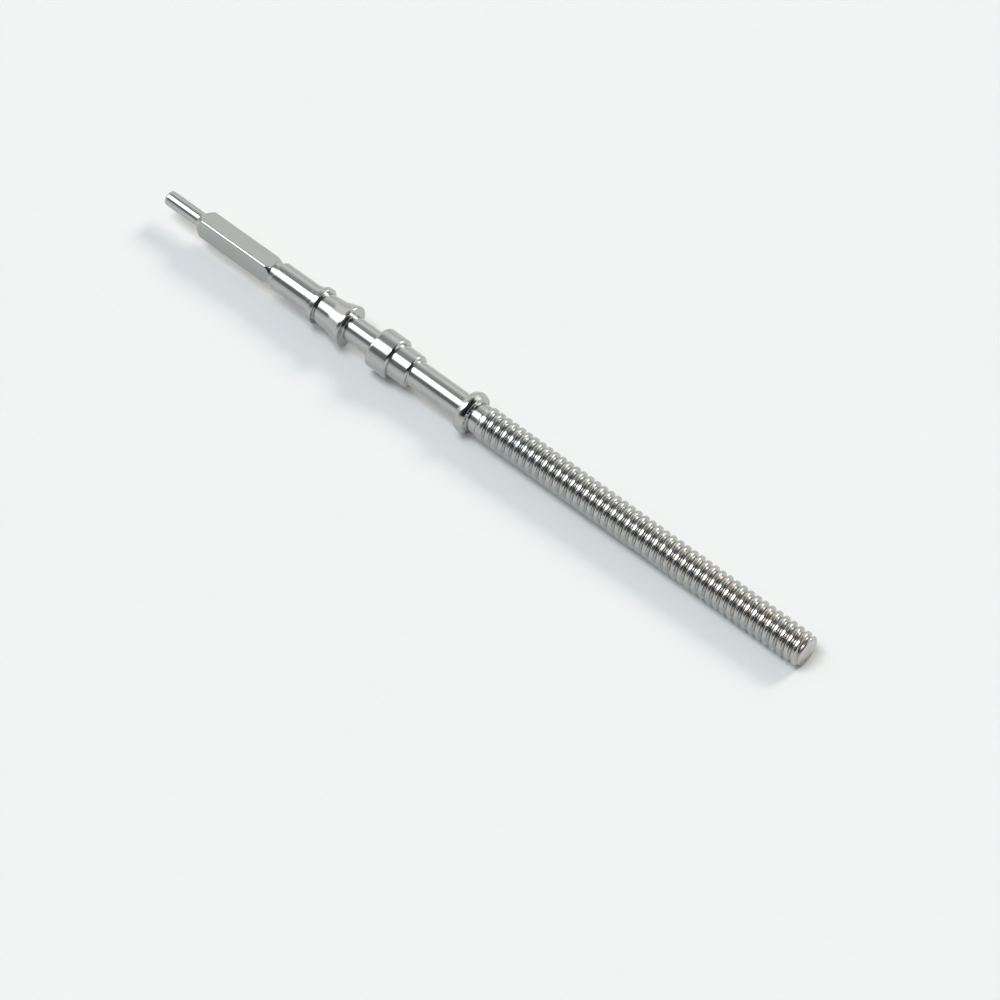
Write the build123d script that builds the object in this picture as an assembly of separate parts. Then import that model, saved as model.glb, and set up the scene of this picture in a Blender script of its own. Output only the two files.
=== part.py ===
from build123d import *
import math
import os

# Winding stem of a watch, turned and milled from one steel rod, in millimetres.
# The X axis runs along the stem, from the pilot at -X to the crown thread at +X.
# The origin lies on the axis at the inner end of the crown thread, and +Z is up.

# Crown thread, as the plain cylinder of its major diameter
thread_diameter = 0.90
thread_length = 10.44
thread_end_chamfer = 0.085

# Relief that the thread runs out into, tapering from the thread down to the stop collar
relief_thread_diameter = 0.85
relief_collar_diameter = 0.78
relief_length = 0.32

# Stop collar, with a crest between two slopes
stop_collar_edge_diameter = 1.08
stop_collar_crest_diameter = 1.20
stop_collar_width = 0.29
stop_collar_crown_round = 0.145

# Long neck
neck_diameter = 0.72
neck_length = 1.73

# Step on the crown side of the guard collar
guard_step_diameter = 0.93
guard_step_length = 0.59
guard_step_round = 0.05

# Guard collar, the crown-side wall of the setting-lever slot
guard_collar_diameter = 1.145
guard_collar_width = 0.66
guard_collar_round = 0.08

# Slot that the setting lever's pin rides in
slot_diameter = 0.69
slot_width = 0.96

# Bearing rim, the pilot-side wall of the slot, and the flare behind it
bearing_rim_diameter = 1.14
bearing_rim_width = 0.09
bearing_rim_round = 0.04
flare_root_diameter = 0.91
flare_length = 0.38
flare_round = 0.60

# Tapered oil relief between the rim and the bearing collar
oil_relief_diameter = 0.82
oil_relief_length = 0.49

# Narrow bearing collar, and the low shoulder that the winding pinion runs against
bearing_collar_diameter = 1.04
bearing_collar_width = 0.14
shoulder_diameter = 0.85
shoulder_width = 0.17

# Journal that carries the winding pinion, with a short lead-in
journal_diameter = 0.80
journal_length = 1.17
journal_lead_length = 0.05

# Undercut between the journal and the square, with its sloping pilot side
undercut_diameter = 0.65
undercut_length = 0.11
undercut_slope_length = 0.18

# Driving square for the sliding pinion, milled on a turned blank
square_corner_diameter = 0.76
square_across_flats = 0.57
square_length = 2.20
square_runout_length = 0.08
square_runout_round = 0.10
square_point_length = 0.23
square_roll = 12.0

# Pilot that turns in the movement's plate
pilot_diameter = 0.42
pilot_length = 1.16
pilot_tip_round = 0.09

# Rounds of the turning tool, on raised edges and in the roots
edge_round = 0.02
root_round = 0.03

# The share of a run that the round at either end may take
round_share = 0.48

# How far the milling cutter passes beyond what it cuts
cutter_overrun = 0.20

# The corners of the turned outline from the thread's inner end to the pilot's tip:
# the way from the corner before, the diameter there, and the round on the corner
bearing_corners = [
    (0, relief_thread_diameter, 0),
    (relief_length, relief_collar_diameter, 0),
    (0, stop_collar_edge_diameter, 0),
    (stop_collar_width / 2, stop_collar_crest_diameter, stop_collar_crown_round),
    (stop_collar_width / 2, stop_collar_edge_diameter, 0),
    (0, neck_diameter, root_round),
    (neck_length, neck_diameter, root_round),
    (0, guard_step_diameter, guard_step_round),
    (guard_step_length, guard_step_diameter, 0),
    (0, guard_collar_diameter, guard_collar_round),
    (guard_collar_width, guard_collar_diameter, guard_collar_round),
    (0, slot_diameter, root_round),
    (slot_width, slot_diameter, root_round),
    (0, bearing_rim_diameter, bearing_rim_round),
    (bearing_rim_width, bearing_rim_diameter, bearing_rim_round),
    (flare_length, flare_root_diameter, flare_round),
    (oil_relief_length, oil_relief_diameter, 0),
    (0, bearing_collar_diameter, edge_round),
    (bearing_collar_width, bearing_collar_diameter, edge_round),
    (0, shoulder_diameter, 0),
    (shoulder_width, shoulder_diameter, 0),
    (0, journal_diameter, 0),
    (journal_length, journal_diameter, 0),
    (journal_lead_length, undercut_diameter, 0),
    (undercut_length, undercut_diameter, 0),
]
driving_corners = [
    (undercut_slope_length, square_corner_diameter, 0),
    (square_length, square_corner_diameter, 0),
    (square_point_length, pilot_diameter, 0),
    (pilot_length, pilot_diameter, pilot_tip_round),
]

undercut_end = -sum(way for way, diameter, corner_round in bearing_corners)
square_start = undercut_end - undercut_slope_length
pilot_tip = undercut_end - sum(way for way, diameter, corner_round in driving_corners)


def turned_corners():
    """The outline's points above the axis, and the round asked for at each."""
    points = [
        (thread_length, 0),
        (thread_length, thread_diameter / 2 - thread_end_chamfer),
        (thread_length - thread_end_chamfer, thread_diameter / 2),
        (0, thread_diameter / 2),
    ]
    rounds = [0, edge_round, edge_round, 0]
    station = 0
    for way, diameter, corner_round in bearing_corners + driving_corners:
        station -= way
        points.append((station, diameter / 2))
        rounds.append(corner_round)
    points.append((pilot_tip, 0))
    rounds.append(0)
    return points, rounds


def fitted_round(before, corner, after, wanted):
    """The round for one corner, no larger than its two runs leave room for."""
    arriving = Vector(*corner) - Vector(*before)
    leaving = Vector(*after) - Vector(*corner)
    half_turn = math.radians(arriving.get_angle(leaving)) / 2
    room = round_share * min(arriving.length, leaving.length)
    return min(wanted, room / math.tan(half_turn))


def turned_blank():
    """The whole stem as it leaves the lathe, before the square is milled."""
    points, rounds = turned_corners()
    fitted = [
        fitted_round(points[i - 1], points[i], points[i + 1], rounds[i])
        for i in range(1, len(points) - 1)
    ]
    outline = FilletPolyline(*points, radius=fitted)
    axis_line = Line(points[-1], points[0])
    half_section = make_face(outline.edges() + axis_line.edges())
    return revolve(half_section, axis=Axis.X)


def square_cutter():
    """One pass of the cutter that mills a flat: it enters at the pilot and runs out over the undercut."""
    entry = pilot_tip - cutter_overrun
    end = square_start + square_runout_length
    floor = square_across_flats / 2
    top = square_corner_diameter / 2 + cutter_overrun
    corners = [(entry, top), (entry, floor), (end, floor), (end, top)]
    path = FilletPolyline(*corners, radius=[0, square_runout_round])
    lid = Line((end, top), (entry, top))
    side = Plane.XZ * make_face(path.edges() + lid.edges())
    return extrude(side, amount=top, both=True)


def winding_stem():
    """The finished stem, with its square turned as the stem lies."""
    stem = turned_blank()
    cutter = square_cutter()
    for quarter in range(4):
        stem -= Rot(X=90 * quarter - square_roll) * cutter
    return stem


os.makedirs("parts", exist_ok=True)
export_step(winding_stem(), "parts/winding_stem.step")
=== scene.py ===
import math

import bmesh
import bpy
import numpy as np
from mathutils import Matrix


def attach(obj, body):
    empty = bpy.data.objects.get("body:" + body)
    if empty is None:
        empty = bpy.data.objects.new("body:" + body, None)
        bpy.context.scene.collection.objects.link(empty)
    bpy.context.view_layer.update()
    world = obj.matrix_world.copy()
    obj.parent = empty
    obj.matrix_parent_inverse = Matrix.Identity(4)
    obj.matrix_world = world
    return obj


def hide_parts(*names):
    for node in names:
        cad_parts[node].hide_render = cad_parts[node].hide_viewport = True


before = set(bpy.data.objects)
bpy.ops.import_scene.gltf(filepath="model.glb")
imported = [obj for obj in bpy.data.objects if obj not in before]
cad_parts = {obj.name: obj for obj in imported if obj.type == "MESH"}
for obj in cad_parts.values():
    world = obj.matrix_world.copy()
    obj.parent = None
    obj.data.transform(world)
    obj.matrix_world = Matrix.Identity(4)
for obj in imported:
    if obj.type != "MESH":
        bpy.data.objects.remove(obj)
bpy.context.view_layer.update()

# Winding stem: one rod of hardened carbon steel, not much more than a millimetre thick. It is
# turned on a sliding-head lathe and polished, its square is milled near the pilot, and the
# crown thread is cut with a die. It lies along X, with the pilot at -X. Sizes are millimetres.
mm = 0.001
columns = 96
column_crowding = 0.85
arc_rows = 6
guard_row = 0.008
round_share = 0.48
merging_distance = 0.00002
square_roll = math.radians(12.0)

thread_length = 10.44
thread_radius = 0.45
thread_pitch = 0.225
thread_depth = 0.072
thread_rows = 16
thread_turned_away = 0.557
thread_end_row = 0.02
crest_share = 0.25
root_share = 0.10
run_out_start = -0.02
run_out_length = 0.20
relief_end = -0.33
relief_overlap = 0.01

square_flat = 0.285
square_start = -7.33
square_length = 2.20
square_shoulder = 0.25
square_edge_blend = 0.012
run_out_reach = 0.18
run_out_round = 0.10
run_out_rows = (-0.04, 0.24, 0.0125)
point_rows = (-0.16, 0.01, 0.014)
clear_of_the_stem = 10.0

# The way from the corner before towards the pilot, the radius there, and the round on it.
turned_corners = [
    (0.000, 0.365, 0.020),
    (0.085, 0.450, 0.020),
    (10.315, 0.450, 0.020),
    (0.060, 0.410, 0.020),
    (0.300, 0.395, 0.010),
    (0.000, 0.540, 0.020),
    (0.145, 0.600, 0.145),
    (0.145, 0.540, 0.010),
    (0.000, 0.360, 0.030),
    (1.730, 0.360, 0.030),
    (0.000, 0.420, 0.010),
    (0.045, 0.465, 0.030),
    (0.545, 0.465, 0.010),
    (0.000, 0.515, 0.010),
    (0.055, 0.5725, 0.040),
    (0.605, 0.5725, 0.080),
    (0.000, 0.345, 0.030),
    (0.960, 0.345, 0.030),
    (0.000, 0.570, 0.040),
    (0.090, 0.570, 0.040),
    (0.380, 0.455, 0.600),
    (0.490, 0.410, 0.010),
    (0.000, 0.520, 0.020),
    (0.140, 0.520, 0.020),
    (0.000, 0.425, 0.010),
    (0.170, 0.425, 0.020),
    (0.000, 0.400, 0.010),
    (1.170, 0.400, 0.010),
    (0.050, 0.325, 0.010),
    (0.110, 0.325, 0.010),
    (0.180, 0.380, 0.010),
    (2.200, 0.380, 0.010),
    (0.230, 0.210, 0.010),
    (1.160, 0.210, 0.090),
]


def rounded_outline(corners):
    """Rows (x, r) along the turned outline, from the middle of the end face to the pilot's tip.

    A corner becomes an arc that touches both of its runs. It starts round * tan(turn / 2) before
    the corner, and swings evenly from the arriving heading to the leaving one. That length is at
    most a fixed share of the shorter run. A close row on each side keeps the runs plain.
    """
    way, radius, wanted = np.array(corners).T
    x = thread_length - np.cumsum(way)
    points = np.stack([np.r_[x[0], x, x[-1]], np.r_[0, radius, 0]], 1)
    arriving = points[1:-1] - points[:-2]
    leaving = points[2:] - points[1:-1]
    before = np.hypot(*arriving.T)
    after = np.hypot(*leaving.T)
    cross = arriving[:, 0] * leaving[:, 1] - arriving[:, 1] * leaving[:, 0]
    turn = np.arctan2(cross, np.sum(arriving * leaving, 1))
    room = round_share * np.minimum(before, after)
    tangent = np.minimum(wanted * np.tan(np.abs(turn) / 2), room)
    bend = tangent / np.tan(turn / 2)
    heading = np.arctan2(arriving[:, 1], arriving[:, 0])[:, None]
    swing = heading + turn[:, None] * np.linspace(0, 1, arc_rows)
    start = points[1:-1] - arriving * (tangent / before)[:, None]
    end = points[1:-1] + leaving * (tangent / after)[:, None]
    arc_x = start[:, :1] + bend[:, None] * (np.sin(swing) - np.sin(heading))
    arc_r = start[:, 1:] - bend[:, None] * (np.cos(swing) - np.cos(heading))
    lead = np.minimum(guard_row, (before / 2 - tangent) / 2) / before
    trail = np.minimum(guard_row, (after / 2 - tangent) / 2) / after
    first = start - arriving * lead[:, None]
    last = end + leaving * trail[:, None]
    rows_x = np.concatenate([first[:, :1], arc_x, last[:, :1]], 1).ravel()
    rows_r = np.concatenate([first[:, 1:], arc_r, last[:, 1:]], 1).ravel()
    return rows_x, rows_r


def with_rows_at(rows_x, rows_r, wanted_x):
    """The outline with more rows at the wanted places, each on the straight run that it falls on."""
    along = np.r_[0, np.cumsum(np.hypot(np.diff(rows_x), np.diff(rows_r)))]
    extra = np.interp(-wanted_x, -rows_x, along)
    every = np.union1d(along, extra)
    return np.interp(every, along, rows_x), np.interp(every, along, rows_r)


def smooth(value):
    """Eases a share from 0 to 1: 3 s^2 - 2 s^3."""
    share = np.clip(value, 0, 1)
    return share * share * (3 - 2 * share)


def softer_minimum(one, other, blend):
    """The smaller of two, with the crease rounded where they differ by less than blend.

    With s the share (other - one) / blend, put between 0 and 1 about a half, it is the mix of the
    two by s, less blend * s * (1 - s).
    """
    share = np.clip(0.5 + 0.5 * (other - one) / blend, 0, 1)
    return other + (one - other) * share - blend * share * (1 - share)


def groove(x, angle):
    """How deep the thread's groove is, from 0 on its crest to 1 at its root, at x and an angle.

    The thread moves one pitch along X with each turn about it. Across one pitch the depth runs
    down and up again in eased slopes, held level on the crest and at the root.
    """
    turns = x / thread_pitch - angle / (2 * np.pi) - thread_turned_away
    triangle = 1 - np.abs(1 - 2 * np.mod(turns, 1))
    return smooth((triangle - crest_share) / (1 - crest_share - root_share))


def flat_distance(x):
    """How far the flats lie from the axis: level along the square, then up the cutter's round.

    On the round the distance grows by R - sqrt(R^2 - way^2). Past it no flat is cut.
    """
    end = square_start + run_out_reach
    rise = np.clip(x - (end - run_out_round), 0, run_out_round)
    lift = run_out_round - np.sqrt(run_out_round**2 - rise**2)
    return square_flat + lift + np.where(x > end, clear_of_the_stem, 0)


def stem_surface():
    """The stem as a grid of x and r over rows along it and columns round it.

    Its columns crowd towards the square's four edges. Along the thread each row follows the helix,
    x = row + pitch * turns, held between the thread's two ends. There the radius is the turned one,
    or the groove's where that is less. Along the square it is the turned one or the flat's, which
    is its distance divided by the cosine of the angle from the flat's middle.
    """
    even = np.arange(columns) * 2 * np.pi / columns
    angle = even - column_crowding * np.sin(4 * even) / 4
    rows_x, rows_r = rounded_outline(turned_corners)
    for place, (low, high, spacing) in (
        (square_start, run_out_rows),
        (square_start - square_length, point_rows),
    ):
        rows_x, rows_r = with_rows_at(rows_x, rows_r, np.arange(place + low, place + high, spacing))
    thread_first = thread_length - thread_end_row
    before = rows_x > thread_first
    after = rows_x < relief_end
    helix = np.arange(thread_first, relief_end - thread_pitch, -thread_pitch / thread_rows)
    x_thread = helix[:, None] + thread_pitch * angle / (2 * np.pi)
    x_thread = np.clip(x_thread, relief_end, thread_first)
    x = np.concatenate([
        np.repeat(rows_x[before][:, None], columns, 1),
        x_thread,
        np.repeat(rows_x[after][:, None], columns, 1),
    ])
    near = (rows_x > relief_end - relief_overlap) & (rows_x < thread_length)
    r_thread = np.interp(-x_thread, -rows_x[near], rows_r[near])
    r = np.concatenate([
        np.repeat(rows_r[before][:, None], columns, 1),
        r_thread,
        np.repeat(rows_r[after][:, None], columns, 1),
    ])
    threaded = x > relief_end
    deep = groove(x, angle[None, :]) * smooth((x - run_out_start) / run_out_length) * threaded
    r = np.minimum(r, np.where(threaded, thread_radius - thread_depth * deep, clear_of_the_stem))
    from_flat = np.mod(angle + np.pi / 4, np.pi / 2) - np.pi / 4
    flat = flat_distance(x) / np.cos(np.pi / 4 - np.abs(from_flat))
    by_square = x < square_start + square_shoulder
    on_flat = (flat < r) & by_square
    r = np.where(by_square, softer_minimum(r, flat, square_edge_blend), r)
    return x, r, angle, deep, on_flat


def stem_mesh(name):
    """The grid as one closed mesh, with a fan at each end and the rows that meet merged.

    The points are (x, -r sin a, r cos a), with a the angle turned to the roll of the square. How
    deep the groove is and where a flat is milled go with the points, for the steel.
    """
    x, r, angle, deep, on_flat = stem_surface()
    rows = len(x)
    turned = angle + np.pi / 4 - square_roll
    y = -r * np.sin(turned)
    z = r * np.cos(turned)
    points = np.stack([x, y, z], 2).reshape(-1, 3)
    ends = np.array([[thread_length, 0, 0], [x.min(), 0, 0]])
    points = np.concatenate([points, ends]) * mm
    row, column = np.meshgrid(np.arange(rows - 1), np.arange(columns), indexing="ij")
    beside = (column + 1) % columns
    here = row * columns
    beyond = here + columns
    quads = np.stack([here + column, beyond + column, beyond + beside, here + beside], 2)
    ring = np.arange(columns)
    next_ring = (ring + 1) % columns
    last = (rows - 1) * columns
    fans = np.concatenate([
        np.stack([np.full(columns, rows * columns), ring, next_ring], 1),
        np.stack([np.full(columns, rows * columns + 1), last + next_ring, last + ring], 1),
    ])
    mesh = bpy.data.meshes.new(name)
    mesh.from_pydata(points.tolist(), [], quads.reshape(-1, 4).tolist() + fans.tolist())
    for title, values in (("groove_depth", deep), ("milled", on_flat)):
        layer = mesh.attributes.new(title, "FLOAT", "POINT")
        layer.data.foreach_set("value", np.r_[values.ravel().astype(float), 0, 0])
    shaped = bmesh.new()
    shaped.from_mesh(mesh)
    bmesh.ops.remove_doubles(shaped, verts=shaped.verts, dist=merging_distance * mm)
    bmesh.ops.recalc_face_normals(shaped, faces=shaped.faces)
    shaped.to_mesh(mesh)
    shaped.free()
    mesh.polygons.foreach_set("use_smooth", np.ones(len(mesh.polygons), bool))
    return mesh


# The steel's colours, as shares of red, green and blue light, and its other values. A pair is the
# two ends of a range, with places in metres. Each pattern has how often it repeats in a metre of
# X, Y and Z, and then how fine its detail is.
clean_steel = (0.475, 0.480, 0.466, 1)
smudged_steel = (0.450, 0.458, 0.450, 1)
warm_steel = (0.500, 0.475, 0.440, 1)
milled_steel = (0.415, 0.425, 0.405, 1)
# Painted light: the cut end face's colour, lighter than the steel's.
cut_end_steel_painted_lighter = (0.620, 0.620, 0.600, 1)
# Painted shade and dried oil: the dark colour laid into the thread's grooves.
groove_shade_and_residue = (0.115, 0.115, 0.120, 1)
brown_residue = (0.200, 0.090, 0.025, 1)
tool_rings = ((90000, 900, 900), 2.0)
cutter_strokes = ((1500, 26000, 26000), 3.0)
smudges = ((1400, 2600, 2600), 3.0)
mottling = ((7000, 9000, 9000), 4.0)
brown_reach = (0.0, 0.0104)
end_face_reach = (0.0101, 0.0102)
facing_the_end = (0.80, 0.97)
# How the grooves are darkened, partly by dried oil and partly as painted shade: by y, by depth and in
# patches.
near_side_oil_and_shade = ((-0.00036, -0.00022), (0.25, 0.78))
far_side_oil_and_shade = ((0.00024, 0.00012), (0.25, 1.0))
oil_and_shade_depth = (0.30, 0.85)
oil_and_shade_patches = ((0.30, 0.65), (0.45, 1.0))
smudge_shade = (0.35, 0.70)
warm_spots = ((0.52, 0.75), (0.0, 0.5))
stroke_shade = ((0.30, 0.70), (0.4, 0.9))
end_light_and_specks = ((0.30, 0.70), (0.5, 1.0))
polish = ((0.30, 0.75), (0.13, 0.20))
milled_roughness = 0.08
cut_end_roughness = 0.22
oil_roughness = 0.10
ring_height = 0.5
smudge_height = 1.2
bump_strength = 0.25
bump_distance = 0.004


def linked(tree, socket, value):
    """Feeds a socket from another socket, or sets it where the value is a plain one."""
    if isinstance(value, bpy.types.NodeSocket):
        tree.links.new(value, socket)
    else:
        socket.default_value = value


def worked(tree, operation, one, other=0.0):
    """One sum on two numbers, in a Math node."""
    node = tree.nodes.new("ShaderNodeMath")
    node.operation = operation
    linked(tree, node.inputs[0], one)
    linked(tree, node.inputs[1], other)
    return node.outputs[0]


def ranged(tree, value, limits, outcome=(0.0, 1.0), blending="LINEAR"):
    """The value carried from its limits to the outcome's, and held at them beyond."""
    node = tree.nodes.new("ShaderNodeMapRange")
    node.interpolation_type = blending
    tree.links.new(value, node.inputs["Value"])
    for name, number in zip(("From Min", "From Max", "To Min", "To Max"), limits + outcome):
        node.inputs[name].default_value = number
    return node.outputs["Result"]


def mixed(tree, mask, under, top):
    """One colour laid over another where the mask is 1."""
    node = tree.nodes.new("ShaderNodeMix")
    node.data_type = "RGBA"
    tree.links.new(mask, node.inputs["Factor"])
    under_socket, top_socket = [s for s in node.inputs if s.type == "RGBA"]
    linked(tree, under_socket, under)
    linked(tree, top_socket, top)
    return [s for s in node.outputs if s.type == "RGBA"][0]


def noise(tree, place, stretch, detail):
    """Cloudy noise from 0 to 1 over the place, repeated by the stretch."""
    mapping = tree.nodes.new("ShaderNodeMapping")
    mapping.inputs["Scale"].default_value = stretch
    tree.links.new(place, mapping.inputs["Vector"])
    node = tree.nodes.new("ShaderNodeTexNoise")
    node.inputs["Scale"].default_value = 1.0
    node.inputs["Detail"].default_value = detail
    tree.links.new(mapping.outputs["Vector"], node.inputs["Vector"])
    return node.outputs["Fac"]


def polished_steel():
    """Polished steel: rings left by the turning tool, strokes of the cutter on the flats, handling
    marks, and a dried oily film that darkens the thread's grooves, most of all towards the crown end.
    The grooves' darkening is partly painted shade, strongest where y lies between about -0.22 and
    +0.12 mm. The cut end face is painted lighter than the rest of the steel, as painted light."""
    material = bpy.data.materials.new("polished_steel")
    material.use_nodes = True
    tree = material.node_tree
    shader = tree.nodes["Principled BSDF"]
    place = tree.nodes.new("ShaderNodeTexCoord").outputs["Object"]

    def attribute(name):
        node = tree.nodes.new("ShaderNodeAttribute")
        node.attribute_name = name
        return node.outputs["Fac"]

    def split(vector):
        node = tree.nodes.new("ShaderNodeSeparateXYZ")
        tree.links.new(vector, node.inputs[0])
        return node.outputs

    def times(one, other):
        return worked(tree, "MULTIPLY", one, other)

    depth = attribute("groove_depth")
    flats = attribute("milled")
    x, y = split(place)[:2]
    normal = tree.nodes.new("ShaderNodeNewGeometry").outputs["Normal"]
    end_face = times(ranged(tree, split(normal)[0], facing_the_end), ranged(tree, x, end_face_reach))
    rings = noise(tree, place, *tool_rings)
    strokes = noise(tree, place, *cutter_strokes)
    smudge = noise(tree, place, *smudges)
    mottle = noise(tree, place, *mottling)

    tone = mixed(tree, ranged(tree, smudge, smudge_shade), clean_steel, smudged_steel)
    tone = mixed(tree, ranged(tree, mottle, *warm_spots), tone, warm_steel)
    stroked = times(flats, ranged(tree, strokes, *stroke_shade))
    tone = mixed(tree, stroked, tone, milled_steel)
    # Painted light: the cut end face is laid lighter than the steel, in specks.
    specked_lighter_end = times(end_face, ranged(tree, mottle, *end_light_and_specks))
    tone = mixed(tree, specked_lighter_end, tone, cut_end_steel_painted_lighter)
    # Painted shade and dried oil in the grooves: darker by depth, in patches, and strongest where y
    # lies between about -0.22 and +0.12 mm.
    oil_and_shade = times(ranged(tree, depth, oil_and_shade_depth), ranged(tree, mottle, *oil_and_shade_patches))
    residue_and_shade = mixed(tree, ranged(tree, x, brown_reach), groove_shade_and_residue, brown_residue)
    oil_and_shade_band = times(ranged(tree, y, *near_side_oil_and_shade), ranged(tree, y, *far_side_oil_and_shade))
    tone = mixed(tree, times(oil_and_shade, oil_and_shade_band), tone, residue_and_shade)
    tree.links.new(tone, shader.inputs["Base Color"])
    shader.inputs["Metallic"].default_value = 1.0

    rough = ranged(tree, smudge, *polish)
    for mask, more in ((flats, milled_roughness), (end_face, cut_end_roughness), (oil_and_shade, oil_roughness)):
        rough = worked(tree, "ADD", rough, times(mask, more))
    tree.links.new(rough, shader.inputs["Roughness"])

    bump = tree.nodes.new("ShaderNodeBump")
    bump.inputs["Strength"].default_value = bump_strength
    bump.inputs["Distance"].default_value = bump_distance * mm
    height = worked(tree, "ADD", times(rings, ring_height), times(smudge, smudge_height))
    tree.links.new(height, bump.inputs["Height"])
    tree.links.new(bump.outputs["Normal"], shader.inputs["Normal"])
    return material


stem = bpy.data.objects.new("winding_stem_finished", stem_mesh("winding_stem_finished"))
bpy.context.scene.collection.objects.link(stem)
stem.data.materials.append(polished_steel())
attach(stem, "root")
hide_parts("winding_stem")

# Table top: the sheet of pale paper that the stem lies on, with a faint grain of fibres and
# clouds. It touches the stop collar and the end of the thread, so it is pitched a little
# against the stem's axis: z = level + pitch * x.
collar_place = -0.505
collar_radius = 0.585
floor_reach = 0.5
floor_pitch = (collar_radius - thread_radius) / (thread_length - collar_place)
paper_shade = (0.755, 0.760, 0.762, 1)
paper_light = (0.800, 0.798, 0.792, 1)
paper_roughness = 0.9
paper_fibres = ((6000, 6000, 6000), 4.0)
paper_clouds = ((220, 220, 220), 2.0)
floor_x = np.array([-1, 1, 1, -1]) * floor_reach
floor_y = np.array([-1, -1, 1, 1]) * floor_reach
floor_z = (-collar_radius - floor_pitch * collar_place) * mm + floor_pitch * floor_x
floor_mesh = bpy.data.meshes.new("table_top")
floor_mesh.from_pydata(np.stack([floor_x, floor_y, floor_z], 1).tolist(), [], [(0, 1, 2, 3)])
floor = bpy.data.objects.new("table_top", floor_mesh)
bpy.context.scene.collection.objects.link(floor)
paper = bpy.data.materials.new("pale_sheet")
paper.use_nodes = True
sheet = paper.node_tree
sheet_shader = sheet.nodes["Principled BSDF"]
sheet_place = sheet.nodes.new("ShaderNodeTexCoord").outputs["Object"]
fibres = noise(sheet, sheet_place, *paper_fibres)
clouds = noise(sheet, sheet_place, *paper_clouds)
grain = worked(sheet, "MULTIPLY", worked(sheet, "ADD", fibres, clouds), 0.5)
sheet.links.new(mixed(sheet, grain, paper_shade, paper_light), sheet_shader.inputs["Base Color"])
sheet_shader.inputs["Roughness"].default_value = paper_roughness
floor_mesh.materials.append(paper)

# Studio light: a soft box and a small lamp over the stem, which light the paper, and the tent
# that the polished steel mirrors: pale walls, a dark side by the camera, and the same two
# lights. It lies in the world's shader, and the camera sees a plain pale backdrop.

# A direction is (x, y, z), and a pair is where along a direction a wall fades in. A panel is its
# centre, the direction of its width, half its width, half its height, its edge's softness and
# its light.
wall = (0.80, 0.82, 0.81, 1)
upper_wall = (1.06, 1.09, 1.07, 1)
roof = (0.38, 0.40, 0.40, 1)
near_wall = (0.20, 0.22, 0.23, 1)
dark_side = (0.014, 0.014, 0.018, 1)
room = (0.37, 0.39, 0.40, 1)
backdrop = (0.86, 0.87, 0.87, 1)
upper_wall_rises = (0.15, 0.42)
roof_rises = (0.52, 0.88)
near_wall_turns = (0.05, -0.40)
near_wall_rises = (0.16, 0.34)
dark_side_begins = (-0.12, -0.02)
dark_side_ends = (0.99, 0.93)
dark_side_low = (0, -0.79, 0.62)
dark_side_high = (0, 0.33, 0.94)
dark_side_edge = (-0.06, 0.06)
grazing = (0.02, 0.06)
mirrored_panels = [
    ((-0.60, -0.290, 0.70), (0, 1, 0), 0.325, 0.58, 0.05, (2.6, 2.75, 2.8, 1)),
    ((-0.33, -0.235, 0.91), (0, 1, 0), 0.16, 0.24, 0.08, (10.0, 10.5, 10.8, 1)),
    ((0.38, 0.87, 0.32), (1, 0, 0), 0.15, 0.14, 0.05, (15.0, 13.8, 12.0, 1)),
]
lighting_panels = [
    ((-0.18, -0.25, 0.95), (1, 0, 0), 0.24, 0.22, 0.06, (8.6, 9.2, 9.5, 1)),
    ((0.186, 0.762, 0.62), (1, 0, 0), 0.14, 0.14, 0.05, (18.0, 16.2, 13.8, 1)),
]
world = bpy.data.worlds.new("light_tent")
bpy.context.scene.world = world
world.use_nodes = True
sky = world.node_tree
sky.nodes.clear()
direction = sky.nodes.new("ShaderNodeTexCoord").outputs["Generated"]


def unit(vector):
    """The vector divided by its length."""
    return np.array(vector) / np.linalg.norm(vector)


def towards(axis):
    """How far the ray's direction points along an axis, by their dot product."""
    node = sky.nodes.new("ShaderNodeVectorMath")
    node.operation = "DOT_PRODUCT"
    sky.links.new(direction, node.inputs[0])
    node.inputs[1].default_value = axis
    return node.outputs["Value"]


def eased(value, limits):
    """The share of the way between the limits, eased at both ends."""
    return ranged(sky, value, limits, blending="SMOOTHSTEP")


def both(one, other):
    """The mask of what lies in both masks: their product."""
    return worked(sky, "MULTIPLY", one, other)


def panel(centre, across, half_width, half_height, softness):
    """The mask of a flat panel that faces the stem: 1 where a ray meets it, and 0 past its edge.

    A ray meets the panel's plane at its shares along the width and the height, both divided by
    its share towards the centre.
    """
    facing = unit(centre)
    side = unit(np.array(across) - facing * (facing @ np.array(across)))
    ahead = worked(sky, "MAXIMUM", towards(facing), grazing[0])
    inside = eased(ahead, grazing)
    for axis, half in ((side, half_width), (np.cross(facing, side), half_height)):
        away = worked(sky, "ABSOLUTE", worked(sky, "DIVIDE", towards(axis), ahead))
        inside = both(inside, eased(away, (half + softness, half - softness)))
    return inside


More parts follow.
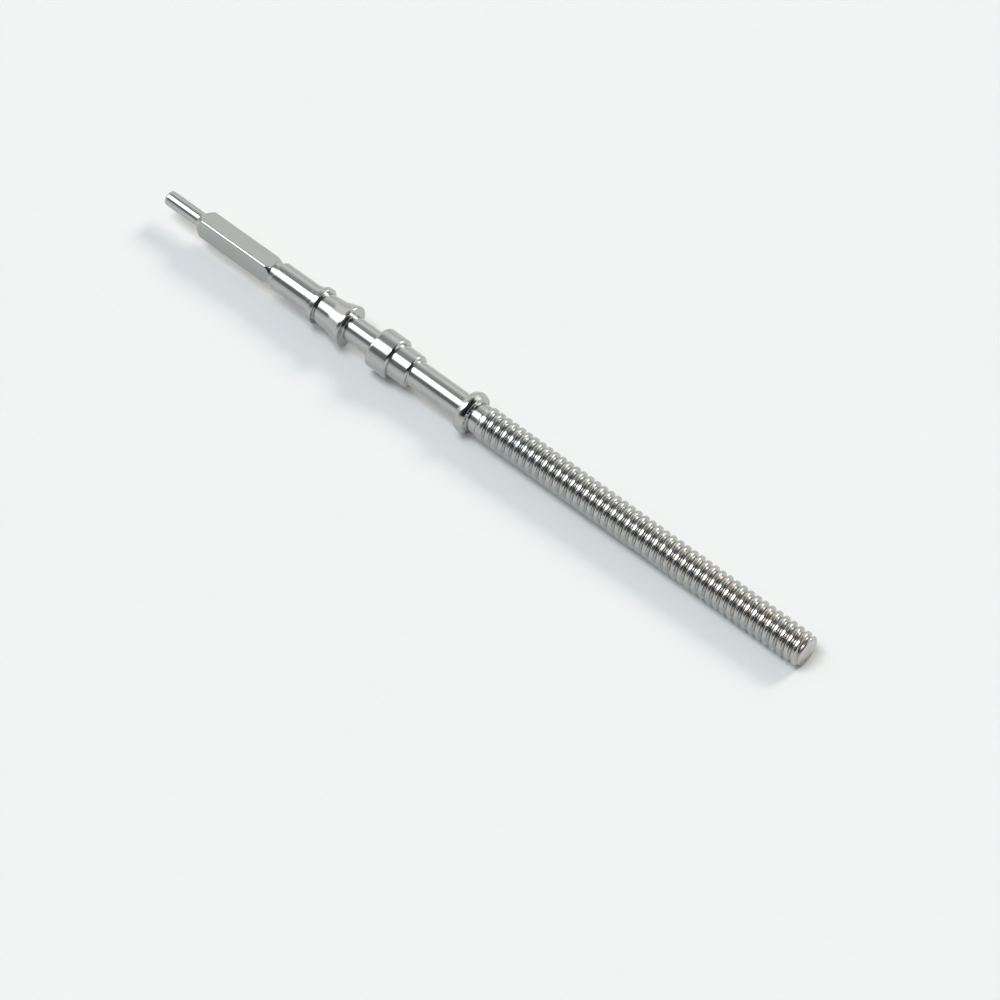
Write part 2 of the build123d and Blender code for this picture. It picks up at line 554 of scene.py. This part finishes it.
height = towards((0, 0, 1))
along = towards((1, 0, 0))
tent = mixed(sky, eased(height, upper_wall_rises), wall, upper_wall)
tent = mixed(sky, eased(height, roof_rises), tent, roof)
near = both(eased(towards((0, 1, 0)), near_wall_turns), eased(height, near_wall_rises))
tent = mixed(sky, near, tent, near_wall)
ends = both(eased(along, dark_side_begins), eased(along, dark_side_ends))
low_edge = eased(towards(dark_side_low), dark_side_edge)
high_edge = eased(towards(dark_side_high), dark_side_edge)
tent = mixed(sky, both(ends, both(low_edge, high_edge)), tent, dark_side)
for *place, glow in mirrored_panels:
    tent = mixed(sky, panel(*place), tent, glow)
dome = room
for *place, glow in lighting_panels:
    dome = mixed(sky, panel(*place), dome, glow)
light_path = sky.nodes.new("ShaderNodeLightPath").outputs
seen = mixed(sky, light_path["Is Glossy Ray"], dome, tent)
seen = mixed(sky, light_path["Is Camera Ray"], seen, backdrop)
background = sky.nodes.new("ShaderNodeBackground")
sky.links.new(seen, background.inputs["Color"])
output = sky.nodes.new("ShaderNodeOutputWorld")
sky.links.new(background.outputs[0], output.inputs["Surface"])
bpy.context.scene.view_settings.view_transform = "Standard"

# Camera: a long lens over the near side, turned so that the stem lies across the frame's
# diagonal as in the photograph. The angles are the view's azimuth and elevation.
camera_azimuth = math.radians(41.27)
camera_elevation = math.radians(55.12)
camera_distance = 124.04
camera_aim = (1.843, -1.536, 0.0)
lens_length = 180
film_width = 36
nearest_seen = 1.0
farthest_seen = 2000.0
camera_data = bpy.data.cameras.new("camera")
camera_data.lens = lens_length
camera_data.sensor_width = film_width
camera_data.clip_start = nearest_seen * mm
camera_data.clip_end = farthest_seen * mm
camera = bpy.data.objects.new("camera", camera_data)
bpy.context.scene.collection.objects.link(camera)
back = np.array([
    math.sin(camera_azimuth) * math.cos(camera_elevation),
    -math.cos(camera_azimuth) * math.cos(camera_elevation),
    math.sin(camera_elevation),
])
camera.location = (np.array(camera_aim) + back * camera_distance) * mm
camera.rotation_euler = (math.pi / 2 - camera_elevation, 0, camera_azimuth)
bpy.context.scene.camera = camera
